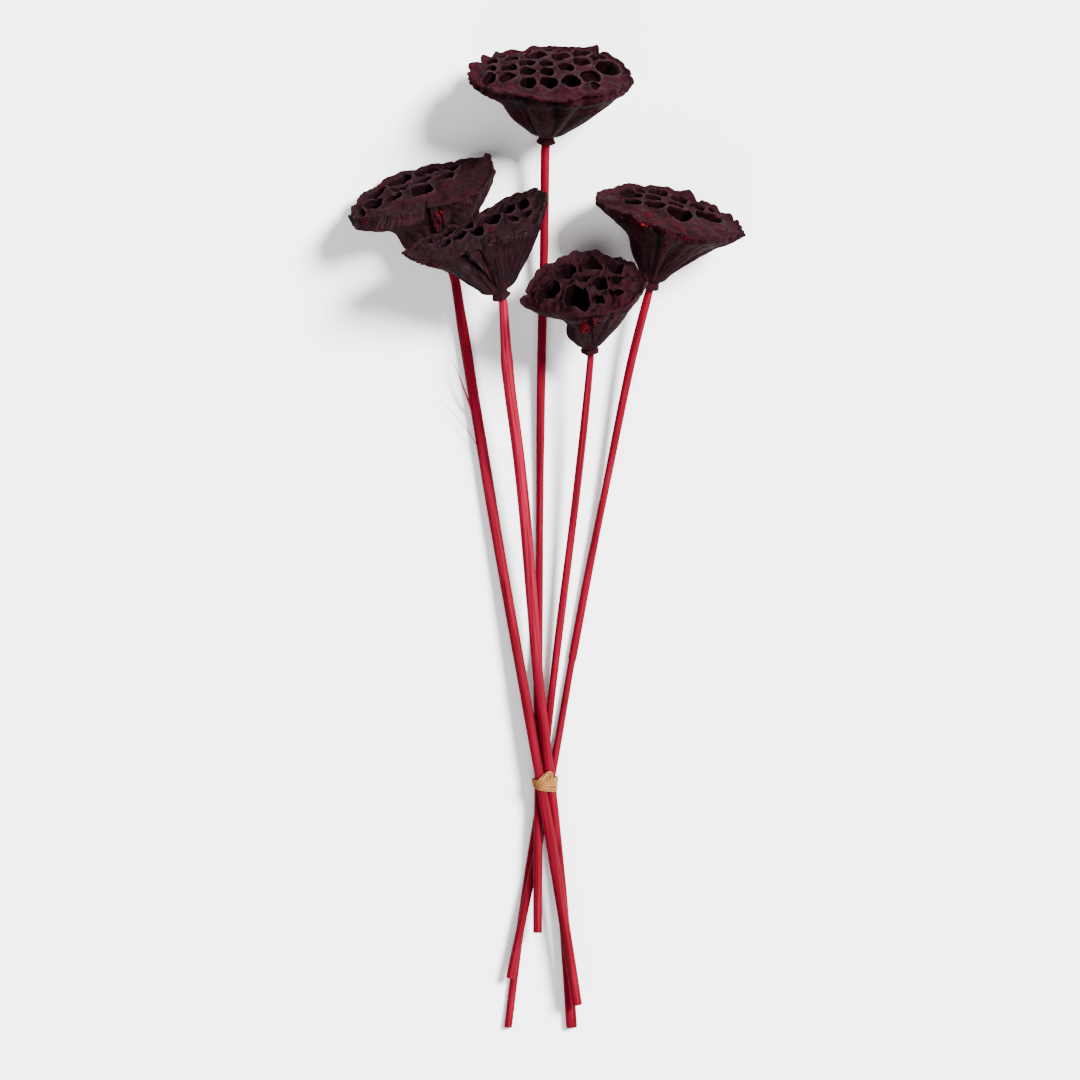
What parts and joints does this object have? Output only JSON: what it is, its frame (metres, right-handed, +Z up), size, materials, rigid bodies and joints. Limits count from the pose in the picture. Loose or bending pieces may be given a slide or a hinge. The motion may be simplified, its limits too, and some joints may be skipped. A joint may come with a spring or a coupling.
{
  "type": "dried lotus pod bunch",
  "caption": "Tied bunch of dried lotus seed pods with pitted faces on long dyed stems, lying flat as a natural decoration.",
  "frame": {"origin": "bottom centre of the whole bunch, on the surface that it lies on", "axes": "+Y along the stems towards the pods, +Z up from the surface, +X to the right seen from above"},
  "size_m": [0.2074, 0.5205, 0.0782],
  "materials": {
    "pod": "dry leathery husk dyed dark burgundy, matt",
    "stem": "dried stalk dyed crimson, satin, with fine lengthwise striations",
    "tie": "dry raffia strip, satin"
  },
  "bodies": {
    "root": {"pod_1": "pod", "pod_2": "pod", "pod_3": "pod", "pod_4": "pod", "pod_5": "pod", "stem_1": "stem", "stem_2": "stem", "stem_3": "stem", "stem_4": "stem", "stem_5": "stem", "tie": "tie"}
  },
  "joints": []
}
